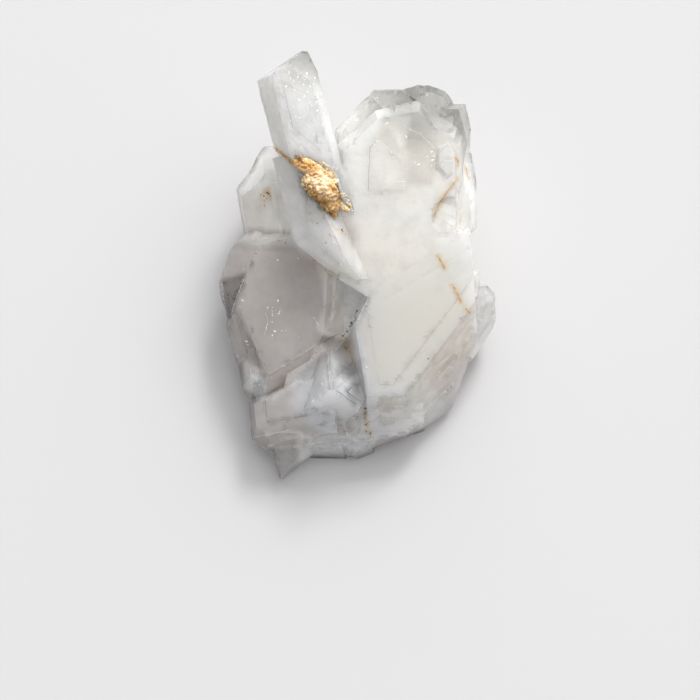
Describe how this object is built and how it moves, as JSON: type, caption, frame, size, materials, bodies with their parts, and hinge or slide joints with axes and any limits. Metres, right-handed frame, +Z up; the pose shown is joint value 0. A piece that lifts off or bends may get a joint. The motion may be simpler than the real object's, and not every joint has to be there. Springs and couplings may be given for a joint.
{
  "type": "faden quartz crystal cluster",
  "caption": "Loose cluster of clear to milky quartz crystals grown into one another, with an ochre clay lump in its cleft and a flat broken base.",
  "frame": {"origin": "middle of the bounding box in plan, at the flat broken base", "axes": "+Z up away from the base, +Y along the longest side towards the heads of the tall and the leaning crystal, +X to the right seen from above"},
  "size_m": [0.0434, 0.0656, 0.0277],
  "materials": {
    "quartz": "clear to milky natural crystal faces, glossy with fine growth lines",
    "clay": "dry, earthy, iron-stained"
  },
  "bodies": {
    "root": {"quartz_cluster": "quartz", "clay_lump": "clay"}
  },
  "joints": []
}
